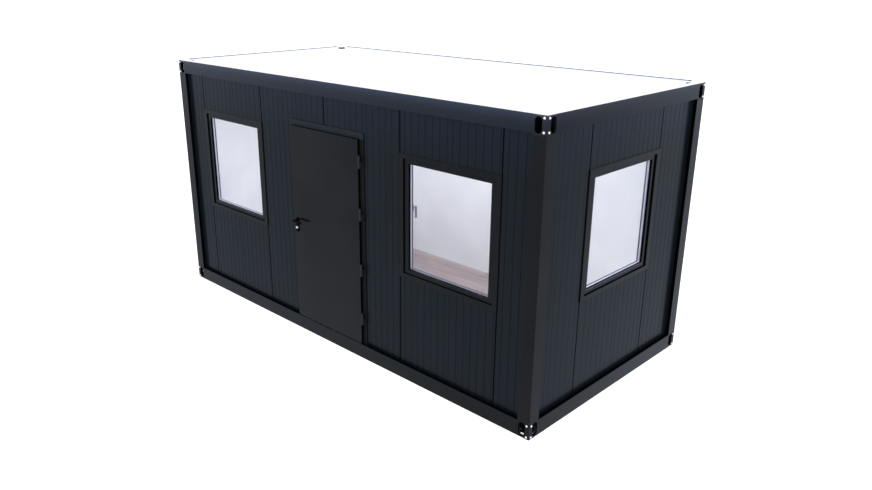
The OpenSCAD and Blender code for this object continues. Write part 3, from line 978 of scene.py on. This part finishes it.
grooveSeals = {
    "footSection": [
        (-0.0015, 0.0), (-0.0015, 0.0235), (-0.0040, 0.0240),
        (-0.0075, 0.0205), (-0.0095, 0.0120), (-0.0100, 0.0),
    ],
    "headSection": [
        (-0.0015, -0.003), (-0.0100, -0.003), (-0.0090, -0.018), (-0.0050, -0.028), (-0.0015, -0.028),
    ],
    "postInset": 0.010,  # from the edge of the post's face to the black shade strip
    "postThick": 0.008,
    "postDepth": (0.0050, 0.0355),
    "postGap": 0.004,
}


def makeGrooveShadeStrips():
    look = grooveSeals
    mesh = bmesh.new()
    doorLow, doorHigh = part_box("door_frame")
    for side in range(4):
        half = halfRun(side) - postWidth
        turned = onSide(side).to_3x3()
        along, inward = turned @ Vector((1, 0, 0)), turned @ Vector((0, 1, 0))
        up = Vector((0, 0, 1))
        runs = [(-half, half)]
        if side == 0:
            runs = [(-half, doorLow.x), (doorHigh.x, half)]
        for first, last in runs:
            foot = onSide(side, 0, wallFoot) @ Vector((0, wallFace, 0))
            addSweep(mesh, look["footSection"], foot + along * first, foot + along * last, inward, up)
        head = onSide(side, 0, wallHead) @ Vector((0, wallFace, 0))
        addSweep(mesh, look["headSection"], head - along * half, head + along * half, inward, up)
        for hand in (-1, 1):
            near = hand * (half + look["postInset"])
            far = near + hand * look["postThick"]
            addBox(
                mesh,
                (min(near, far), look["postDepth"][0], postLow.z + look["postGap"]),
                (max(near, far), look["postDepth"][1], postHigh.z - look["postGap"]),
                onSide(side),
            )
    putPiece("groove_seals", mesh, rubberAndShade, "cabin")


makeGrooveShadeStrips()


# black strips deep in the open joints between the panels, painted shade that darkens the joints

jointStrips = {"width": 0.0126, "depth": (0.0012, 0.016), "ends": 0.002}


def makeJointStrips():
    look = jointStrips
    mesh = bmesh.new()
    bays = [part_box(name + "_window_panels") for name in ("front_left", "front_right", "right")]
    doorX = (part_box("front_panel_door_left")[0].x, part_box("front_panel_door_right")[1].x)
    frontX = (bays[0][0].x, *doorX, bays[1][1].x)
    endY = (bays[2][0].y, bays[2][1].y)
    low, high = wallFoot + look["ends"], wallHead - look["ends"]
    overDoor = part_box("door_frame")[1].z + look["ends"]
    joints = [(0, x, low, high) for x in frontX]
    joints += [(0, 0.0, overDoor, high)]  # in the middle of the front
    joints += [(1, y, low, high) for y in endY]
    for side, along, bottom, top in joints:
        half = look["width"] / 2
        near, far = wallFace + look["depth"][0], wallFace + look["depth"][1]
        addBox(mesh, (along - half, near, bottom), (along + half, far, top), onSide(side))
    putPiece("joint_shade_strips", mesh, rubberAndShade, "cabin")


makeJointStrips()


# upright lip along the flashing, with dark seals between its ends and the corner caps

roofLip = {"run": 0.034, "depth": (0.021, 0.025), "height": 0.0085, "sunk": 0.0005, "bevel": 0.0006}


def makeRoofLip():
    look = roofLip
    lip, seals = bmesh.new(), bmesh.new()
    near, far = look["depth"]
    for side in range(4):
        half = halfRun(side) - postWidth
        place = onSide(side, 0, cabinTop)
        inner = half - look["run"]
        addBox(lip, (-inner, near, -look["sunk"]), (inner, far, look["height"]), place)
        for hand in (-1, 1):
            first, last = sorted((hand * half, hand * inner))
            addBox(seals, (first, near, -look["sunk"]), (last, far, look["height"]), place)
    for mesh in (lip, seals):
        bmesh.ops.bevel(mesh, geom=mesh.edges[:], offset=look["bevel"], segments=2, affect="EDGES")
    putPiece("roof_lip", lip, lipWhite, "cabin")
    putPiece("roof_lip_seals", seals, sealWhite, "cabin")


makeRoofLip()


# white plugs in the lifting holes of the caps

capPlugs = {
    "rimInset": 0.010,  # the rims of the holes lie farther than this from the edges of a cap
    "sides": 48,
    "clear": 0.0004,
    "section": [  # share of the hole's radius, height above the cap
        (0.90, -0.0130), (0.94, -0.0120), (0.97, -0.0005), (1.10, -0.0005), (1.10, 0.0006), (1.04, 0.0014),
        (0.86, 0.0014), (0.80, 0.0006), (0.10, 0.0006),
    ],
}


def makeCapPlugs():
    look = capPlugs
    mesh = bmesh.new()
    rim = []
    for vertex in nodes["corner_caps"].data.vertices:
        edges = (vertex.co.x - postLow.x, vertex.co.y - postLow.y)
        if min(edges) > look["rimInset"] and max(edges) < postWidth - look["rimInset"]:
            rim.append(vertex.co)
    middle = sum(rim, Vector()) / len(rim)
    radius = max((co.xy - middle.xy).length for co in rim)
    section = [(share * radius - look["clear"] * (share < 1), height) for share, height in look["section"]]
    for sx in (-1, 1):
        for sy in (-1, 1):
            place = Matrix.Translation((sx * abs(middle.x), sy * abs(middle.y), cabinTop))
            addLathe(mesh, section, place, look["sides"])
    putPiece("cap_plugs", mesh, white, "cabin")


makeCapPlugs()
print("bolts, seals, strips and plugs set")


# windows: linings, gaskets and double glazing

windowLook = {
    "gap": 0.0002,  # keeps touching faces apart
    "lining": 0.0016,
    "liningFrom": (0.003, 0.004),  # behind the trim's face, at its outer and its inner edge
    "outerGasket": 0.0030,
    "gasketFrom": 0.0025,  # behind the frame's face
    "gasketNose": (0.0006, 0.0030),  # in from the frame, and behind its face
    "gasketFoot": 0.002,  # in front of the glass
    "paneThick": 0.004,
    "paneEdge": 0.001,
    "spacerGap": 0.0004,
    "spacerIn": 0.0035,  # how far the spacer shows inside the frame
    "spacerBack": 0.0006,  # from the back of the glass
    "butyl": 0.0055,
    "butylIn": 0.0038,
    "spacerHeight": 0.010,
    "beadDepth": (0.0045, 0.0165),  # behind the inner pane
    "beadIn": 0.0040,
    "beadBevel": 0.002,
}
windows = {"front_left": 0, "front_right": 0, "right": 1}  # the side that each is in


def makeWindow(name, side):
    look = windowLook
    frameLow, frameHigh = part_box(name + "_window_frame")
    glassLow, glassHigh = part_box(name + "_window_glass")
    axis, depthAxis = (0, 1) if side == 0 else (1, 0)
    middle = (frameLow + frameHigh) / 2
    place = onSide(side, middle[axis], middle.z)
    reach = halfRun(side + 1)
    corners = [place.inverted() @ vertex.co for vertex in nodes[name + "_window_frame"].data.vertices]
    trimFace, panelFace, frameFace = sorted({round(corner.y, 4) for corner in corners})[:3]
    revealW = min(abs(corner.x) for corner in corners if corner.y < panelFace)
    revealH = min(abs(corner.z) for corner in corners if corner.y < panelFace)
    glassFront, glassBack = sorted(reach - abs(corner[depthAxis]) for corner in (glassLow, glassHigh))
    sightW = (glassHigh[axis] - glassLow[axis]) / 2 - glassLap
    sightH = (glassHigh.z - glassLow.z) / 2 - glassLap

    # black lining of the reveal between trim and frame, painted shade on the reveal's sides
    mesh = bmesh.new()
    t = look["lining"]
    gap = look["gap"]
    outer, inner = (trimFace + depth for depth in look["liningFrom"])
    addRing(
        mesh,
        [(0.0, outer), (0.0, frameFace - gap), (-t, frameFace - gap), (-t, inner)],
        revealW, revealH, place,
    )
    # gasket between frame and glass
    g = look["outerGasket"]
    noseIn, noseDepth = look["gasketNose"]
    addRing(
        mesh,
        [
            (0.0, frameFace + look["gasketFrom"]), (0.0, glassFront), (-g, glassFront),
            (-g, glassFront - look["gasketFoot"]), (-noseIn, frameFace + noseDepth),
        ],
        sightW, sightH, place,
    )
    putPiece(name + "_window_gaskets", mesh, rubberAndShade, "cabin")

    # two panes
    mesh = bmesh.new()
    wide = sightW + glassLap - look["paneEdge"]
    high = sightH + glassLap - look["paneEdge"]
    for near in (glassFront + gap, glassBack - look["paneThick"] - gap):
        addBox(mesh, (-wide, near, -high), (wide, near + look["paneThick"], high), place)
    panes = putPiece(name + "_window_panes", mesh, pane, "cabin")
    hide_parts(name + "_window_glass")

    # spacer between the panes
    mesh = bmesh.new()
    first = glassFront + look["paneThick"] + look["spacerGap"]
    last = glassBack - look["spacerBack"]
    top = look["spacerHeight"] - look["spacerIn"]
    addRing(
        mesh,
        [(-look["spacerIn"], first), (-look["spacerIn"], last), (top, last), (top, first)],
        sightW, sightH, place,
    )
    spacer = makeSpacerMetal(name, middle.z - sightH)
    putPiece(name + "_window_spacer", mesh, spacer, "cabin")

    # slate butyl in front of the spacer, and behind the inner pane a dark blue bead, painted shade for the
    # shaded inner face of the white sash
    mesh = bmesh.new()
    inward = look["butylIn"]
    last = first + look["butyl"]
    addRing(mesh, [(-inward, first), (-inward, last), (top, last), (top, first)], sightW, sightH, place)
    inward = look["beadIn"]
    bevel = look["beadBevel"]
    first, last = (glassBack + depth for depth in look["beadDepth"])
    addRing(
        mesh,
        [(-inward, first), (-inward, last - bevel), (bevel - inward, last), (-gap, last), (-gap, first)],
        sightW, sightH, place,
    )
    putPiece(name + "_window_bead", mesh, bead, "cabin")


for name, side in windows.items():
    makeWindow(name, side)
print("windows glazed")


# door: edge band, gasket, latch and lock

doorLook = {
    "slab": 0.019,  # thickness of the slab that laps over the frame
    "bandFront": [(0.0002, 0.0010), (0.0014, 0.0022)],  # out from the edge, and behind the door's face
    "bandBack": [  # out from the edge, and behind the slab
        (0.0014, -0.0015), (0.0006, 0.0035), (-0.0060, 0.0040), (-0.0060, 0.0003), (0.0002, -0.0004),
    ],
    "bandEnds": 0.003,
    "gasketIn": 0.006,
    "gasket": [  # out from its own edge, and behind the slab
        (0.0, 0.0002), (-0.0015, 0.0035), (-0.0045, 0.0044),
        (-0.0070, 0.0044), (-0.0100, 0.0025), (-0.0100, 0.0002),
    ],
    "rebate": 0.024,  # from the edge of the slab to that of the leaf behind it
    "latchPlate": (0.0020, 0.020, 0.235),  # thickness, width and height
    "latchSunk": 0.0005,
    "latchBevel": 0.0006,
    "latchTongue": (0.009, 0.011, 0.030),
    "tongueShares": (0.4, 0.72),  # where its slope begins and ends
    "tongueDrop": 0.025,  # below the top of the handle plate
}


def makeDoorBand():
    # black band on the hinge edge and the top edge of the slab
    look = doorLook
    low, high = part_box("door_leaf")
    ends = look["bandEnds"]
    mesh = bmesh.new()
    section = look["bandFront"] + [(out, look["slab"] + depth) for out, depth in look["bandBack"]]
    foot = Vector((high.x, low.y, low.z + ends))
    head = Vector((high.x, low.y, high.z - ends))
    addSweep(mesh, section, foot, head, Vector((1, 0, 0)), Vector((0, 1, 0)))
    # the top edge goes without the part that turns in behind the slab
    first = Vector((low.x + ends, low.y, high.z))
    last = Vector((high.x, low.y, high.z))
    addSweep(mesh, section[:4] + section[-1:], first, last, Vector((0, 0, 1)), Vector((0, 1, 0)))
    putPiece("door_edge_band", mesh, rubberAndShade, "door")


makeDoorBand()


def makeDoorGasket():
    # soft gasket on the back of the slab that meets the frame
    look = doorLook
    low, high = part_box("door_leaf")
    mesh = bmesh.new()
    middle = Vector(((low.x + high.x) / 2, low.y + look["slab"], (low.z + high.z) / 2))
    halfW = (high.x - low.x) / 2 - look["gasketIn"]
    halfH = (high.z - low.z) / 2 - look["gasketIn"]
    addRing(mesh, look["gasket"], halfW, halfH, Matrix.Translation(middle))
    putPiece("door_gasket", mesh, rubberAndShade, "door")


makeDoorGasket()


def makeLatch():
    # face plate and tongue in the lock edge of the leaf
    look = doorLook
    low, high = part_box("door_leaf")
    plateLow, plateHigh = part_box("door_handle_plates")
    inner = low.x + look["rebate"]
    middleY = (low.y + look["slab"] + high.y) / 2
    middleZ = (plateLow.z + plateHigh.z) / 2
    t, w, h = look["latchPlate"]
    mesh = bmesh.new()
    addBox(
        mesh,
        (inner - t, middleY - w / 2, middleZ - h / 2),
        (inner + look["latchSunk"], middleY + w / 2, middleZ + h / 2),
    )
    bmesh.ops.bevel(mesh, geom=mesh.edges[:], offset=look["latchBevel"], segments=2, affect="EDGES")
    out, deep, tall = look["latchTongue"]
    slope, tip = (-out * share for share in look["tongueShares"])
    tongue = [(0.0, -deep / 2), (0.0, deep / 2), (slope, deep / 2), (tip, 0.0), (tip, -deep / 2)]
    tongueZ = plateHigh.z - look["tongueDrop"]
    foot = Vector((inner - t, middleY, tongueZ - tall / 2))
    head = Vector((inner - t, middleY, tongueZ + tall / 2))
    addSweep(mesh, tongue, foot, head, Vector((1, 0, 0)), Vector((0, 1, 0)))
    putPiece("door_latch", mesh, nickel, "door")


makeLatch()


lockCylinder = {
    "sides": 40,
    "face": [  # radius and height of the turned nose, from the plate outwards
        (0.0122, -0.0005), (0.0122, 0.0020), (0.0112, 0.0030), (0.0110, 0.0082), (0.0098, 0.0104),
        (0.0072, 0.0110), (0.0068, 0.0102), (0.0064, 0.0106), (0.0003, 0.0106),
    ],
    "nose": 0.011,
    "keyhole": (0.0008, 0.0040, 0.0102, 0.0004),  # half width, half height, foot and half depth of the slit
    "slitBevel": 0.0002,
}


def makeLock():
    look = lockCylinder
    low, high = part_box("door_lock")
    middle = (low + high) / 2
    halfW, halfH, foot, deep = look["keyhole"]
    nose = bmesh.new()
    slit = bmesh.new()
    for away in (-1, 1):
        base = low.y + look["nose"] if away < 0 else high.y - look["nose"]
        turned = Matrix.Rotation(math.radians(-90 * away), 4, "X")
        place = Matrix.Translation((middle.x, base, middle.z)) @ turned
        addLathe(nose, look["face"], place, look["sides"])
        # the black slit is painted shade standing in for the keyway
        addBox(slit, (-halfW, -halfH, foot), (halfW, halfH, foot + 2 * deep), place)
    bmesh.ops.bevel(slit, geom=slit.edges[:], offset=look["slitBevel"], segments=1, affect="EDGES")
    piece = putPiece("lock_cylinder", nose, nickel, "door")
    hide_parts("door_lock")
    putPiece("lock_keyhole", slit, rubberAndShade, "door")


makeLock()
print("door dressed")


# stage, light and camera

stageLook = {"floor": (0.40, 0.40, 0.40), "glow": 0.85, "size": 400.0}


def makeFloor():
    finish = newFinish(
        "pale_floor",
        {
            "Base Color": opaque(stageLook["floor"]),
            "Specular IOR Level": 0.0,
            "Emission Color": (1.0, 1.0, 1.0, 1.0),
            "Emission Strength": stageLook["glow"],
        },
    )[0]
    mesh = bmesh.new()
    bmesh.ops.create_grid(mesh, x_segments=1, y_segments=1, size=stageLook["size"])
    data = bpy.data.meshes.new("floor")
    mesh.to_mesh(data)
    mesh.free()
    data.materials.append(finish)
    floor = bpy.data.objects.new("floor", data)
    bpy.context.scene.collection.objects.link(floor)
    floor.visible_glossy = False  # dark paint mirrors the softer sky below the horizon instead


makeFloor()

lightLook = {
    "sky": [  # colours by the sine of the height, from far below the horizon up to it
        (0.00, (0.44, 0.48, 0.56)),
        (0.48, (0.44, 0.48, 0.56)),
        (0.72, (0.72, 0.84, 1.00)),
        (0.88, (1.0, 1.0, 1.0)),
        (1.00, (1.0, 1.0, 1.0)),
    ],
    "skyLow": -0.36,
    "skyStrength": 1.0,
    "top": 1.6,
    "topAngle": 50.0,
    "round": [  # brightness round the horizon, from -X by -Y, +X and +Y back to -X
        (0.000, 1.05), (0.075, 1.00), (0.083, 0.92), (0.110, 0.86), (0.150, 0.82), (0.250, 0.82),
        (0.500, 0.80), (0.655, 0.76), (0.669, 0.94), (0.683, 1.13), (0.750, 1.10), (1.000, 1.05),
    ],
    "horizon": (-0.03, 0.0),  # sines of the height over which the even sky takes over
    "ground": (-0.28, -0.38, 0.18),  # sines of the height between which it brightens, and by how much
    "lamps": {  # watts, place in the room, and length and width; the low ones shine upwards
        "ceiling": (64.5, (0.21, -0.22, 0.985), (3.4, 1.2)),
        "lowLeft": (3.0, (-1.70, -0.55, 0.05), (0.4, 0.9)),
        "lowRight": (3.0, (1.85, 0.45, 0.05), (0.9, 0.4)),
    },
    "lampColour": (0.935, 0.96, 1.0),
}


def makeLight():
    look = lightLook
    scene = bpy.context.scene
    world = bpy.data.worlds.new("studio")
    world.use_nodes = True
    tree = world.node_tree
    sky = tree.nodes["Background"]
    way = Wire(tree, tree.nodes.new("ShaderNodeTexCoord").outputs["Generated"])
    height = way.axis("Z").span(look["skyLow"], 0.0)
    tone = height.node("ValToRGB", {"stops": look["sky"]}, {0: height})
    tree.links.new(tone.socket, sky.inputs["Color"])
    turn = way.sum("ARCTAN2", way.axis("Y"), way.axis("X")) / (2 * math.pi) + 0.5
    stops = [(spot, (value, value, value)) for spot, value in look["round"]]
    start, end, gain = look["ground"]
    ground = way.axis("Z").span(start, end) * gain + look["skyStrength"]
    level = turn.node("ValToRGB", {"stops": stops}, {0: turn}) * ground
    above = way.axis("Z").span(*look["horizon"])
    strength = above * look["skyStrength"] + (1 - above) * level
    tree.links.new(strength.socket, sky.inputs["Strength"])
    scene.world = world
    top = bpy.data.lights.new("top", "SUN")
    top.energy = look["top"]
    top.angle = math.radians(look["topAngle"])
    scene.collection.objects.link(bpy.data.objects.new("top", top))
    roomLow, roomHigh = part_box("floor_deck")[1].z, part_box("ceiling")[0].z
    for name, (watts, (x, y, share), size) in look["lamps"].items():
        lamp = bpy.data.lights.new(name, "AREA")
        lamp.shape = "RECTANGLE"
        lamp.size, lamp.size_y = size
        lamp.energy = watts
        lamp.color = look["lampColour"]
        holder = bpy.data.objects.new(name, lamp)
        holder.location = (x, y, roomLow + share * (roomHigh - roomLow))
        if share < 0.5:
            holder.rotation_euler.x = math.pi
        holder.visible_camera = False
        scene.collection.objects.link(holder)
    scene.view_settings.view_transform = "Standard"


makeLight()

cameraLook = {
    "place": (5.5557, -5.5955, 3.5288),
    "azimuth": 45.0097,
    "elevation": 19.4713,
    "lens": 31.783,
    "sensor": 36.0,
    "shift": (0.03022, -0.00115),
}


def makeCamera():
    look = cameraLook
    data = bpy.data.cameras.new("camera")
    data.lens = look["lens"]
    data.sensor_width = look["sensor"]
    data.shift_x, data.shift_y = look["shift"]
    camera = bpy.data.objects.new("camera", data)
    az = math.radians(look["azimuth"])
    el = math.radians(look["elevation"])
    back = Vector((math.sin(az) * math.cos(el), -math.cos(az) * math.cos(el), math.sin(el)))
    camera.location = look["place"]
    camera.rotation_euler = back.to_track_quat("Z", "Y").to_euler()
    bpy.context.scene.collection.objects.link(camera)
    bpy.context.scene.camera = camera


makeCamera()

print("scene ready")
